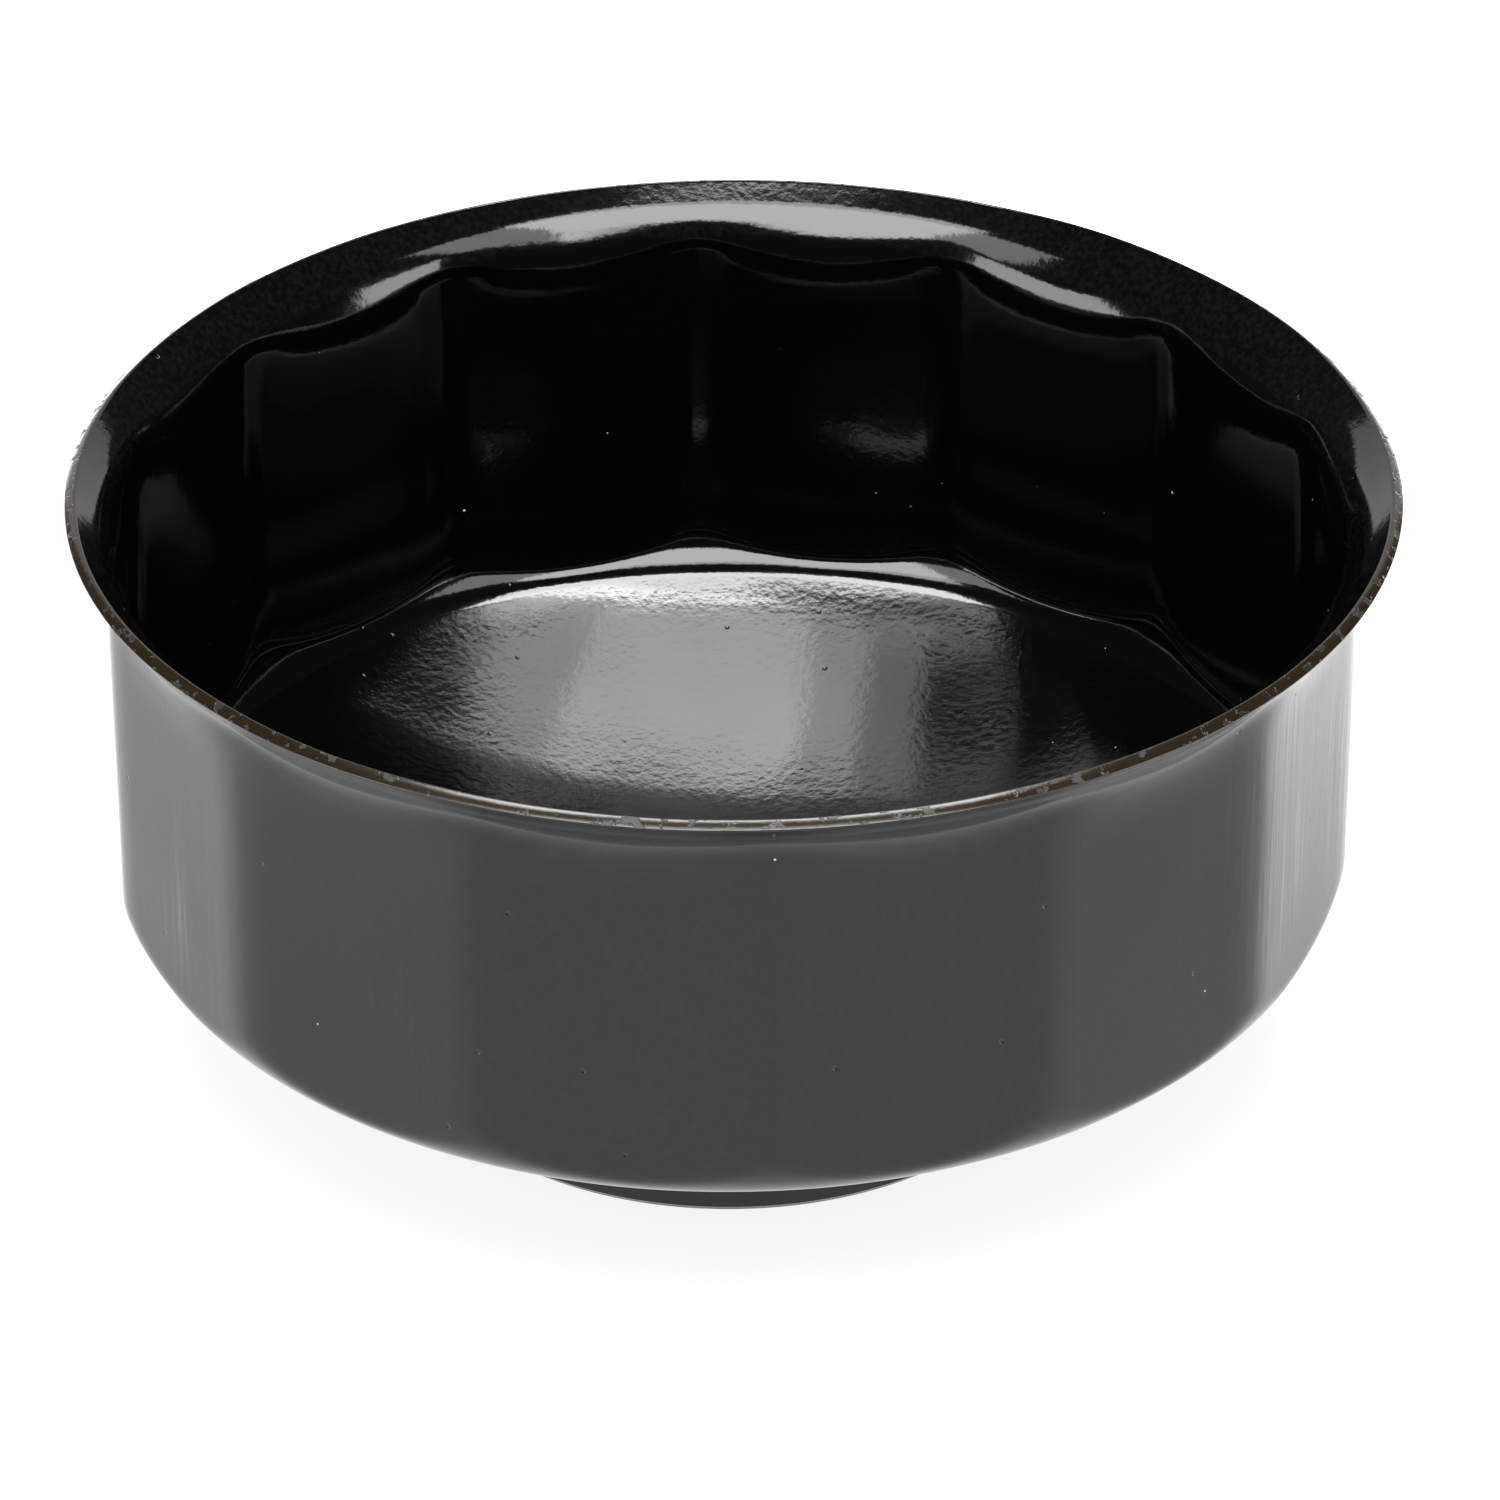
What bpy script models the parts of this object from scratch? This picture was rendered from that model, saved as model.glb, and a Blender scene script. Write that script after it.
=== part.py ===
"""End-cap oil filter wrench: a pressed steel cup with a round drive hub welded under its base.

Metres, +Z up. The origin is the centre of the hub's lower face, and the cup's mouth is at the top.
"""
from math import atan2, cos, pi, radians, sin

import bmesh
import bpy
from mathutils import Matrix, Vector

# Driving dimensions
ACROSS_FLATS = 0.0760        # inside the cup, the filter size that the wrench fits
FLAT_COUNT = 14
SHEET = 0.0010
RIM_RADIUS = 0.0420          # outer edge of the flared mouth
HEIGHT = 0.0412              # hub's lower face to the mouth
CORNER_RADIUS = 0.0051       # outside bend between wall and base
CORNER_HEIGHT = 0.0170       # where that bend runs into the wall
FLARE_HEIGHT = 0.0045
FLARE_ANGLE = radians(48)    # slope of the mouth's lip away from the wall
LIP_SHEET = 0.0008           # the sheet is stretched thinner at the lip
DISH_ANGLE = radians(27.3)   # slope of the base where it meets the bend
DISH_RADIUS = 0.0780         # curvature of the dished base
PAD_ANGLE = radians(11.3)    # slope where the dish meets the blend into the flat middle
PAD_BLEND = 0.0190           # radius of that blend
BASE_HOLE_RADIUS = 0.0080
HUB_RADIUS = 0.0212
HUB_CHAMFER = 0.0003
SQUARE_DRIVE = 0.0096        # square hole for a 3/8 inch drive
SQUARE_CHAMFER = 0.0006
GAP = 0.0003                 # between pieces that touch
WELD_COUNT = 4
WELD_ANGLE = radians(34)
WELD_LEG_DOWN = 0.0034
WELD_LEG_OUT = 0.0026

# Values that follow
APOTHEM = ACROSS_FLATS / 2 + SHEET
HALF_FLAT = pi / FLAT_COUNT
RIDGE_ROUND = radians(1.45)  # half of the angle that the rounded ridge between two flats takes
WALL_RADIUS = APOTHEM / cos(HALF_FLAT - RIDGE_ROUND)
CORNER_CENTRE = WALL_RADIUS - CORNER_RADIUS
FLARE_RADIUS = FLARE_HEIGHT / sin(FLARE_ANGLE)
FLARE_START = HEIGHT - FLARE_HEIGHT


def new_object(name, bm, color, roughness, metallic, smooth_angle=35):
    """Make a named object with its own material from a bmesh."""
    mesh = bpy.data.meshes.new(name)
    bmesh.ops.recalc_face_normals(bm, faces=bm.faces)
    bm.to_mesh(mesh)
    bm.free()
    mesh.shade_smooth()
    mesh.set_sharp_from_angle(angle=radians(smooth_angle))
    material = bpy.data.materials.new(name + "_material")
    material.use_nodes = True
    shader = material.node_tree.nodes["Principled BSDF"]
    shader.inputs["Base Color"].default_value = (*color, 1.0)
    shader.inputs["Roughness"].default_value = roughness
    shader.inputs["Metallic"].default_value = metallic
    mesh.materials.append(material)
    part = bpy.data.objects.new(name, mesh)
    bpy.context.scene.collection.objects.link(part)
    return part


def arc(centre, radius, start, end, steps):
    """Points (r, z) on an arc, its angles measured from straight down towards the outside."""
    points = []
    for step in range(steps + 1):
        angle = start + (end - start) * step / steps
        points.append((centre[0] + radius * sin(angle), centre[1] - radius * cos(angle)))
    return points


def base_profile(inset):
    """The sheet's section from its middle hole out to the wall, inset towards the cup's inside."""
    corner = (CORNER_CENTRE, CORNER_HEIGHT)
    bend = arc(corner, CORNER_RADIUS - inset, DISH_ANGLE, pi / 2, 6)
    reach = CORNER_RADIUS - DISH_RADIUS
    dish_centre = (corner[0] + reach * sin(DISH_ANGLE), corner[1] - reach * cos(DISH_ANGLE))
    dish = arc(dish_centre, DISH_RADIUS - inset, PAD_ANGLE, DISH_ANGLE, 5)
    reach = DISH_RADIUS - PAD_BLEND
    blend_centre = (dish_centre[0] + reach * sin(PAD_ANGLE), dish_centre[1] - reach * cos(PAD_ANGLE))
    blend = arc(blend_centre, PAD_BLEND - inset, 0.0, PAD_ANGLE, 3)
    pad_edge, pad_height = blend[0]
    pad = [(BASE_HOLE_RADIUS, pad_height), ((BASE_HOLE_RADIUS + pad_edge) / 2, pad_height)]
    return pad + blend[:-1] + dish[:-1] + bend


def flare_profile(inset, steps=5):
    """The mouth's section from the wall up to the lip, thinning towards the lip."""
    centre_radius = WALL_RADIUS + FLARE_RADIUS
    points = []
    for step in range(steps + 1):
        share = step / steps
        angle = FLARE_ANGLE * share
        thinning = 1 - share * (1 - LIP_SHEET / SHEET)
        reach = FLARE_RADIUS + inset * thinning
        points.append((centre_radius - reach * cos(angle), FLARE_START + reach * sin(angle)))
    return points


def fitted_lip(points):
    """Stretch the flare outwards so that its edge has the rim's radius, and trim it level."""
    grown = []
    for radius, height in points:
        share = max(0.0, (height - FLARE_START) / FLARE_HEIGHT)
        growth = (RIM_RADIUS - WALL_RADIUS - FLARE_RADIUS * (1 - cos(FLARE_ANGLE))) * share ** 2
        grown.append((radius + growth, min(height, HEIGHT)))
    return grown


def section(inset):
    """One side of the sheet, from the middle hole to the lip."""
    base = base_profile(inset)
    wall_top = FLARE_START
    wall_low = base[-1][1]
    wall = [(base[-1][0], wall_low + (wall_top - wall_low) * share) for share in (0.3, 0.65)]
    return base + wall + fitted_lip(flare_profile(inset))


def flattened(radius, height, angle, inset):
    """Radius at an angle once the fourteen flats are pressed into the round cup."""
    from_flat = (angle + HALF_FLAT) % (2 * HALF_FLAT) - HALF_FLAT
    flat = (APOTHEM - inset) / cos(from_flat)
    share = min(1.0, max(0.0, (height - FLARE_START) / FLARE_HEIGHT))
    fade = share * share * (3 - 2 * share)
    pressed = min(radius, flat)
    return pressed + (radius - pressed) * fade


def ring_angles():
    """Angles of one ring: five points on each flat, the outer two beside the rounded ridges."""
    reach = HALF_FLAT - RIDGE_ROUND
    offsets = [-reach, -reach / 2, 0.0, reach / 2, reach]
    return [2 * HALF_FLAT * flat + offset for flat in range(FLAT_COUNT) for offset in offsets]


def move_ring(verts, radius, height, inset):
    for vert in verts:
        angle = atan2(vert.co.y, vert.co.x)
        reach = flattened(radius, height, angle, inset)
        vert.co = Vector((reach * cos(angle), reach * sin(angle), height))


def make_cup_shell():
    """The cup as one closed sheet: its underside from the hole to the lip, then back inside."""
    outside = [(radius, height, 0.0) for radius, height in section(0.0)]
    inside = [(radius, height, SHEET) for radius, height in section(SHEET)]
    rings = outside + inside[::-1]
    bm = bmesh.new()
    first = [bm.verts.new((cos(angle), sin(angle), 0.0)) for angle in ring_angles()]
    edges = [bm.edges.new((first[i - 1], first[i])) for i in range(len(first))]
    move_ring(first, *rings[0])
    start_edges = list(edges)
    for ring in rings[1:]:
        grown = bmesh.ops.extrude_edge_only(bm, edges=edges)["geom"]
        edges = [item for item in grown if isinstance(item, bmesh.types.BMEdge)]
        verts = [item for item in grown if isinstance(item, bmesh.types.BMVert)]
        edges = [edge for edge in edges if all(vert in verts for vert in edge.verts)]
        move_ring(verts, *ring)
    bmesh.ops.bridge_loops(bm, edges=start_edges + edges)
    return new_object("cup_shell", bm, (0.012, 0.012, 0.013), 0.25, 0.0)


def pad_underside():
    return base_profile(0.0)[0][1]


def make_square_cutter():
    """A square bar with a flared foot, which cuts the drive hole and its lower chamfer."""
    half = SQUARE_DRIVE / 2
    margin = 0.002
    bm = bmesh.new()
    bmesh.ops.create_cube(bm, size=1.0)
    bmesh.ops.scale(bm, vec=(SQUARE_DRIVE, SQUARE_DRIVE, pad_underside() + margin), verts=bm.verts)
    lift = (pad_underside() + margin) / 2 + SQUARE_CHAMFER
    bmesh.ops.translate(bm, vec=(0.0, 0.0, lift), verts=bm.verts)
    bottom = [face for face in bm.faces if face.normal.z < -0.5]
    foot = bmesh.ops.extrude_face_region(bm, geom=bottom)["geom"]
    bmesh.ops.delete(bm, geom=bottom, context="FACES_ONLY")
    foot_verts = [item for item in foot if isinstance(item, bmesh.types.BMVert)]
    foot_half = half + SQUARE_CHAMFER + margin
    for vert in foot_verts:
        vert.co.x = foot_half if vert.co.x > 0 else -foot_half
        vert.co.y = foot_half if vert.co.y > 0 else -foot_half
        vert.co.z = -margin
    cutter = new_object("square_cutter", bm, (0.5, 0.1, 0.1), 0.5, 0.0)
    cutter.hide_render = True
    cutter.display_type = "WIRE"
    return cutter


def make_drive_hub():
    """The round hub with bevelled edges and a square hole straight through."""
    thickness = pad_underside() - GAP
    bm = bmesh.new()
    bmesh.ops.create_cone(
        bm, cap_ends=True, segments=72, radius1=HUB_RADIUS, radius2=HUB_RADIUS, depth=thickness)
    bmesh.ops.translate(bm, vec=(0.0, 0.0, thickness / 2), verts=bm.verts)
    rim_edges = [edge for edge in bm.edges if abs(edge.verts[0].co.z - edge.verts[1].co.z) < 1e-6]
    bmesh.ops.bevel(
        bm, geom=rim_edges, offset=HUB_CHAMFER, segments=1, profile=0.5, affect="EDGES", material=-1)
    hub = new_object("drive_hub", bm, (0.014, 0.014, 0.013), 0.35, 0.0)
    cut = hub.modifiers.new("square_hole", "BOOLEAN")
    cut.operation = "DIFFERENCE"
    cut.solver = "EXACT"
    cut.object = make_square_cutter()
    return hub


def underside_height(radius):
    """Height of the base's underside at a radius, read from its section."""
    points = base_profile(0.0)
    for (r0, z0), (r1, z1) in zip(points, points[1:]):
        if r0 <= radius <= r1:
            return z0 + (z1 - z0) * (radius - r0) / (r1 - r0)
    return points[-1][1]


def make_weld_bead(index):
    """A short fillet weld in the corner between the hub's side and the dished base."""
    inner = HUB_RADIUS + GAP
    outer = inner + WELD_LEG_OUT
    top_inner = underside_height(inner) - GAP
    top_outer = underside_height(outer) - GAP
    toe = top_inner - WELD_LEG_DOWN
    crown = ((inner + outer) / 2 + 0.0004, (toe + top_outer) / 2 - 0.0004)
    outline = [(inner, toe), (inner, top_inner), (outer, top_outer), crown]
    bm = bmesh.new()
    verts = [bm.verts.new((radius, 0.0, height)) for radius, height in outline]
    face = bm.faces.new(verts)
    bmesh.ops.spin(
        bm, geom=[face], cent=(0, 0, 0), axis=(0, 0, 1), angle=WELD_ANGLE, steps=8, use_merge=False)
    place = Matrix.Rotation(2 * pi * (index + 0.5) / WELD_COUNT - WELD_ANGLE / 2, 4, "Z")
    bmesh.ops.transform(bm, matrix=place, verts=bm.verts)
    return new_object(f"weld_bead_{index + 1}", bm, (0.013, 0.013, 0.013), 0.3, 0.0)


def clear_scene():
    for item in list(bpy.data.objects):
        bpy.data.objects.remove(item, do_unlink=True)


clear_scene()
make_cup_shell()
make_drive_hub()
for bead in range(WELD_COUNT):
    make_weld_bead(bead)
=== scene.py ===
"""Cap-type oil filter wrench: the looks of the pressed cup, its hub and its welds, and the stage.

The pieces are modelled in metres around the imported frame, whose origin is the centre of the hub's
lower face, with +Z towards the cup's open mouth.
"""

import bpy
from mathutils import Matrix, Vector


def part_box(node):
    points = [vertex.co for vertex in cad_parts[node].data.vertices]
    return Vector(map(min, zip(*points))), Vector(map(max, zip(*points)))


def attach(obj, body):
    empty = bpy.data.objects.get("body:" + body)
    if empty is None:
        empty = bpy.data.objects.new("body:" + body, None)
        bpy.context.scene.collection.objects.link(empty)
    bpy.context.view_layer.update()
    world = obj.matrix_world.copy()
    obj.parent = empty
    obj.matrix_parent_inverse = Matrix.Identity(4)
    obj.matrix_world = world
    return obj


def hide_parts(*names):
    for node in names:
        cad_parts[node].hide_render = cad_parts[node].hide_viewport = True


bl_info = {
    "name": "Oil Filter Cap Wrench",
    "version": (1, 0, 0),
    "blender": (4, 5, 0),
    "location": "View3D > Sidebar > Cap Wrench",
    "description": "Builds a pressed steel oil filter cap wrench and a plain studio around it",
    "category": "Object",
}

from math import atan2, cos, hypot, pi, radians, sin, sqrt, tan

import bmesh
import bpy
from bpy.props import (
    FloatProperty,
    FloatVectorProperty,
    IntProperty,
    PointerProperty,
)
from mathutils import Matrix, Vector, noise

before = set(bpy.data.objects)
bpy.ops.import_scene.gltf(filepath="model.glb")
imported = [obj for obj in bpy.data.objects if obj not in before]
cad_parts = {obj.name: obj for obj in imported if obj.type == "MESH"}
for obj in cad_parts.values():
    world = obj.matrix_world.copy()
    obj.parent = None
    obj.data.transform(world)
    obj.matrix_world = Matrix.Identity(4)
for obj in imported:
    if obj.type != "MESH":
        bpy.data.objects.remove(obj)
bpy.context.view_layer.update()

CUP_LOW, CUP_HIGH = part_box("cup_shell")
HUB_LOW, HUB_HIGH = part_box("drive_hub")
RIM_RADIUS = CUP_HIGH.x
MOUTH_HEIGHT = CUP_HIGH.z
PAD_UNDERSIDE = CUP_LOW.z
HUB_RADIUS = HUB_HIGH.x
WELD_NODES = sorted(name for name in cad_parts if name.startswith("weld_bead"))

AROUND = 14 * 32             # steps round the cup, a whole number on each flat
HUB_AROUND = 128

# Heights and depths of what shows in the enamel, in metres
FILM_WAVES = 0.000022
DRAW_MARK_HEIGHT = 0.000026
PIT_DEPTH = 0.00005
SPECK_HEIGHT = 0.00002
CHIP_DEPTH = 0.00004
FACING_MARK_HEIGHT = 0.000003
SIDE_MARK_HEIGHT = 0.000005
WELD_GRAIN_HEIGHT = 0.00005
SPATTER_HEIGHT = 0.00004


class CupSettings(bpy.types.PropertyGroup):
    across_flats: FloatProperty(
        name="Across Flats", description="Distance between opposite flats inside the cup",
        default=0.0760, unit="LENGTH")
    flat_count: IntProperty(
        name="Flats", description="Number of flats pressed into the wall", default=14, min=6)
    sheet: FloatProperty(
        name="Sheet", description="Thickness of the steel sheet", default=0.0010, unit="LENGTH")
    wall_radius: FloatProperty(
        name="Ridge Radius", description="Outer radius of the wall on a ridge between two flats",
        default=0.03979, unit="LENGTH")
    ridge_softness: FloatProperty(
        name="Ridge Softness", description="Depth over which a flat rounds into its ridge",
        default=0.00028, unit="LENGTH")
    corner_radius: FloatProperty(
        name="Corner Radius", description="Outside bend between the wall and the base",
        default=0.0051, unit="LENGTH")
    corner_height: FloatProperty(
        name="Corner Height", description="Height at which the bend runs into the wall",
        default=0.0170, unit="LENGTH")
    flare_bend: FloatProperty(
        name="Flare Bend", description="Radius of the bend between the wall and the flared mouth",
        default=0.0033, unit="LENGTH")
    flare_angle: FloatProperty(
        name="Flare Angle", description="Slope of the mouth's lip away from the wall",
        default=radians(44), unit="ROTATION")
    cut_angle: FloatProperty(
        name="Cut Angle", description="How far the lip's cut edge is from square to the sheet",
        default=radians(11), unit="ROTATION")
    flats_end: FloatProperty(
        name="Flats End", description="Height where the flats start to run out into the mouth",
        default=0.0358, unit="LENGTH")
    round_start: FloatProperty(
        name="Round Start", description="Height above which the mouth is fully round",
        default=0.0395, unit="LENGTH")
    lip_thinning: FloatProperty(
        name="Lip Thinning", description="Share of the sheet's thickness that the flare loses by the lip",
        default=0.22, subtype="FACTOR")
    lip_drop: FloatProperty(
        name="Lip Drop", description="How far the lip's outer edge is below the top of the plain mouth",
        default=0.0001, unit="LENGTH")
    run_out: FloatProperty(
        name="Run-out", description="How far the lip sits off the cup's axis",
        default=0.00035, unit="LENGTH")
    lip_round: FloatProperty(
        name="Lip Rounding", description="Rounding of the lip's two edges under the enamel",
        default=0.00010, unit="LENGTH")
    dish_angle: FloatProperty(
        name="Dish Angle", description="Slope of the base where it meets the bend",
        default=radians(27.3), unit="ROTATION")
    dish_radius: FloatProperty(
        name="Dish Radius", description="Curvature of the dished base", default=0.0780,
        unit="LENGTH")
    pad_angle: FloatProperty(
        name="Pad Angle", description="Slope where the dish meets the blend into the flat middle",
        default=radians(11.3), unit="ROTATION")
    pad_blend: FloatProperty(
        name="Pad Blend", description="Radius of the blend round the flat middle",
        default=0.0190, unit="LENGTH")
    hole_radius: FloatProperty(
        name="Hole Radius", description="Hole in the middle of the base, over the drive hole",
        default=0.0080, unit="LENGTH")
    unevenness: FloatProperty(
        name="Unevenness", description="How far the pressed sheet strays from its true shape",
        default=0.00004, unit="LENGTH")


class HubSettings(bpy.types.PropertyGroup):
    chamfer: FloatProperty(
        name="Chamfer", description="Turned chamfer round both faces", default=0.0003,
        unit="LENGTH")
    square_drive: FloatProperty(
        name="Square Drive", description="Side of the square drive hole", default=0.0096,
        unit="LENGTH")
    square_chamfer: FloatProperty(
        name="Square Chamfer", description="Chamfer round the drive hole's mouth",
        default=0.0006, unit="LENGTH")
    corner_round: FloatProperty(
        name="Corner Rounding", description="Radius in the drive hole's corners",
        default=0.0006, unit="LENGTH")
    clearance: FloatProperty(
        name="Clearance", description="Gap left between the hub's top and the cup's base",
        default=0.00002, unit="LENGTH")


class WeldSettings(bpy.types.PropertyGroup):
    span: FloatProperty(
        name="Span", description="Angle that each weld takes round the hub",
        default=radians(34), unit="ROTATION")
    leg_down: FloatProperty(
        name="Leg on the Hub", description="Height of the weld on the hub's side",
        default=0.0034, unit="LENGTH")
    leg_out: FloatProperty(
        name="Leg on the Cup", description="Width of the weld on the cup's base",
        default=0.0026, unit="LENGTH")
    reach_in: FloatProperty(
        name="Reach In", description="How far the weld fills the gap above the hub's edge",
        default=0.0012, unit="LENGTH")
    ripples: IntProperty(
        name="Ripples", description="Frozen ripples along each weld", default=13, min=2)
    ripple_depth: FloatProperty(
        name="Ripple Depth", description="Height of the ripples", default=0.00012,
        unit="LENGTH")


class EnamelSettings(bpy.types.PropertyGroup):
    black: FloatVectorProperty(
        name="Black", description="Colour of the enamel", subtype="COLOR", size=3,
        default=(0.0006, 0.0006, 0.00065), min=0.0, max=1.0)
    # Painted reflection: the hub wears the same black enamel as the cup, and this browner, lighter tone
    # stands in for how light makes it look; the welds use it too
    hub_reflection_tint: FloatVectorProperty(
        name="Hub Black", description="Slightly browner enamel on the hub", subtype="COLOR",
        size=3, default=(0.0030, 0.0022, 0.0012), min=0.0, max=1.0)
    bare_steel: FloatVectorProperty(
        name="Bare Steel", description="Steel that shows through on the spatter of the welds",
        subtype="COLOR", size=3, default=(0.07, 0.065, 0.06), min=0.0, max=1.0)
    # Pale grey for the real fine grain over the outer side, and also for painted sheen streaks laid along
    # the draw marks on the side facets only
    pale_grain_and_sheen: FloatVectorProperty(
        name="Pale Grain And Sheen", description="Enamel that has worn pale along the draw marks",
        subtype="COLOR", size=3, default=(0.085, 0.085, 0.085), min=0.0, max=1.0)
    cut_brown: FloatVectorProperty(
        name="Cut Brown", description="Thin brownish film on the lip's cut edge",
        subtype="COLOR", size=3, default=(0.009, 0.006, 0.003), min=0.0, max=1.0)
    chip_dark: FloatVectorProperty(
        name="Chip Dark", description="Oxidised steel in the chips on the lip",
        subtype="COLOR", size=3, default=(0.004, 0.0035, 0.003), min=0.0, max=1.0)
    dust: FloatVectorProperty(
        name="Dust", description="Specks of dust caught in the enamel", subtype="COLOR",
        size=3, default=(0.50, 0.48, 0.43), min=0.0, max=1.0)
    roughness: FloatProperty(
        name="Roughness", description="Roughness of the enamel", default=0.08,
        subtype="FACTOR")
    peel_size: FloatProperty(
        name="Peel Size", description="Width of one cell of the orange peel",
        default=0.00055, unit="LENGTH")
    peel_depth: FloatProperty(
        name="Peel Depth", description="Height of the orange peel", default=0.0000065,
        unit="LENGTH")


class StageSettings(bpy.types.PropertyGroup):
    floor_size: FloatProperty(
        name="Floor Size", description="Side of the floor", default=8.0, unit="LENGTH")
    floor_colour: FloatVectorProperty(
        name="Floor Colour", description="Pale floor", subtype="COLOR", size=3,
        default=(0.12, 0.12, 0.12), min=0.0, max=1.0)
    floor_glow: FloatProperty(
        name="Floor Glow", description="Light that comes through the floor, as on a light table",
        default=0.88)
    right_glow: FloatProperty(
        name="Right Glow", description="How much brighter the floor is behind and to the right",
        default=2.8)
    left_glow: FloatProperty(
        name="Left Glow", description="How much brighter the floor is to the left", default=1.15)
    sky: FloatProperty(
        name="Sky", description="Strength of the white light from all round", default=0.05)
    distance: FloatProperty(
        name="Distance", description="Distance of the camera from what it looks at",
        default=0.4742, unit="LENGTH")
    azimuth: FloatProperty(
        name="Azimuth", description="Turn of the view round the cup's axis",
        default=0.06, unit="ROTATION")
    elevation: FloatProperty(
        name="Elevation", description="Height of the view above the horizon",
        default=0.5416, unit="ROTATION")
    roll: FloatProperty(
        name="Roll", description="Turn of the view about its own axis", default=-0.0018,
        unit="ROTATION")
    aside: FloatProperty(
        name="Aside", description="How far the aim lies to the right of the cup's axis",
        default=0.00134, unit="LENGTH")
    aim_height: FloatProperty(
        name="Aim Height", description="Height of the point that the camera looks at",
        default=0.02137, unit="LENGTH")
    lens: FloatProperty(
        name="Lens", description="Focal length in millimetres", default=177.2)


# Shared modelling helpers

def fade(value, start, end):
    """Go smoothly from 0 at start to 1 at end."""
    share = min(1.0, max(0.0, (value - start) / (end - start)))
    return share * share * (3 - 2 * share)


def soft_min(first, second, softness):
    """The smaller of two values, rounded off where they are nearly equal."""
    overlap = max(softness - abs(first - second), 0.0) / softness
    return min(first, second) - overlap * overlap * softness / 4


def arc(centre, radius, start, end, steps):
    """Points (r, z) along an arc, its angles measured from straight down towards the outside."""
    points = []
    for step in range(steps + 1):
        angle = start + (end - start) * step / steps
        points.append((centre[0] + radius * sin(angle), centre[1] - radius * cos(angle)))
    return points


def interpolate(points, height):
    """Radius at a height along points (r, z) that rise from first to last."""
    for (r0, z0), (r1, z1) in zip(points, points[1:]):
        if z0 <= height <= z1 and z1 > z0:
            return r0 + (r1 - r0) * (height - z0) / (z1 - z0)
    return points[0][0] if height < points[0][1] else points[-1][0]


def link_mesh(name, bm, material, sharp_angle=None):
    """Turn a bmesh into a smooth shaded object that carries one material."""
    mesh = bpy.data.meshes.new(name)
    bm.to_mesh(mesh)
    bm.free()
    mesh.shade_smooth()
    if sharp_angle is not None:
        mesh.set_sharp_from_angle(angle=sharp_angle)
    mesh.materials.append(material)
    piece = bpy.data.objects.new(name, mesh)
    bpy.context.scene.collection.objects.link(piece)
    return piece


def spin_outline(bm, outline, steps):
    """Spin a closed outline of points (r, z) once round the Z axis."""
    verts = [bm.verts.new((radius, 0.0, height)) for radius, height in outline]
    edges = [bm.edges.new((verts[i - 1], verts[i])) for i in range(len(verts))]
    bmesh.ops.spin(
        bm, geom=verts + edges, cent=(0, 0, 0), axis=(0, 0, 1), angle=2 * pi, steps=steps,
        use_merge=True)
    bmesh.ops.remove_doubles(bm, verts=bm.verts, dist=1e-6)
    bmesh.ops.recalc_face_normals(bm, faces=bm.faces)


# Pressed cup

def base_section(cup, inset):
    """The sheet's section from its middle hole out to the wall, inset towards the inside."""
    corner = (cup.wall_radius - cup.corner_radius, cup.corner_height)
    bend = arc(corner, cup.corner_radius - inset, cup.dish_angle, pi / 2, 14)
    reach = cup.corner_radius - cup.dish_radius
    dish_centre = (
        corner[0] + reach * sin(cup.dish_angle), corner[1] - reach * cos(cup.dish_angle))
    dish = arc(dish_centre, cup.dish_radius - inset, cup.pad_angle, cup.dish_angle, 16)
    reach = cup.dish_radius - cup.pad_blend
    blend_centre = (
        dish_centre[0] + reach * sin(cup.pad_angle), dish_centre[1] - reach * cos(cup.pad_angle))
    blend = arc(blend_centre, cup.pad_blend - inset, 0.0, cup.pad_angle, 6)
    pad_edge, pad_height = blend[0]
    pad = [
        (cup.hole_radius + (pad_edge - cup.hole_radius) * share, pad_height)
        for share in (0.0, 0.12, 0.4, 0.7)]
    return pad + blend[:-1] + dish[:-1] + bend


def flare_section(cup, inset):
    """The mouth's section: the bend out of the wall, the cone, and the lip's cut edge."""
    across = sin(cup.flare_angle)
    along = cos(cup.flare_angle)
    length = (RIM_RADIUS - cup.wall_radius - cup.flare_bend * (1 - along)) / across
    rise = cup.flare_bend * across + length * along
    start = MOUTH_HEIGHT - cup.lip_drop - rise
    centre = (cup.wall_radius + cup.flare_bend, start)
    bend_length = cup.flare_bend * cup.flare_angle
    bend_thinning = cup.lip_thinning * bend_length / (bend_length + length)
    bend_steps = 10
    cone_steps = 8
    points = []
    for step in range(bend_steps + 1):
        angle = cup.flare_angle * step / bend_steps
        reach = cup.flare_bend + inset * (1 - bend_thinning * step / bend_steps)
        points.append((centre[0] - reach * cos(angle), centre[1] + reach * sin(angle)))
    low = points[-1]
    thinner = inset * (cup.lip_thinning - bend_thinning)
    length -= inset * (1 - cup.lip_thinning) * tan(cup.cut_angle)
    high = (
        low[0] + length * across + thinner * along, low[1] + length * along - thinner * across)
    for step in range(1, cone_steps + 1):
        share = step / cone_steps
        points.append(
            (low[0] + (high[0] - low[0]) * share, low[1] + (high[1] - low[1]) * share))
    return points


def sheet_section(cup, inset):
    """One side of the sheet, from the middle hole to the lip."""
    base = base_section(cup, inset)
    flare = flare_section(cup, inset)
    low = base[-1]
    high = flare[0]
    wall = [
        (low[0] + (high[0] - low[0]) * share, low[1] + (high[1] - low[1]) * share)
        for share in (0.07, 0.16, 0.28, 0.42, 0.58, 0.72, 0.84, 0.93)]
    return base + wall + flare


def flat_offset(cup, index):
    """How much deeper or shallower one flat is pressed than the others."""
    return cup.unevenness * noise.noise(Vector((index * 3.7, 1.3, 8.1))) * 1.6


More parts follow.
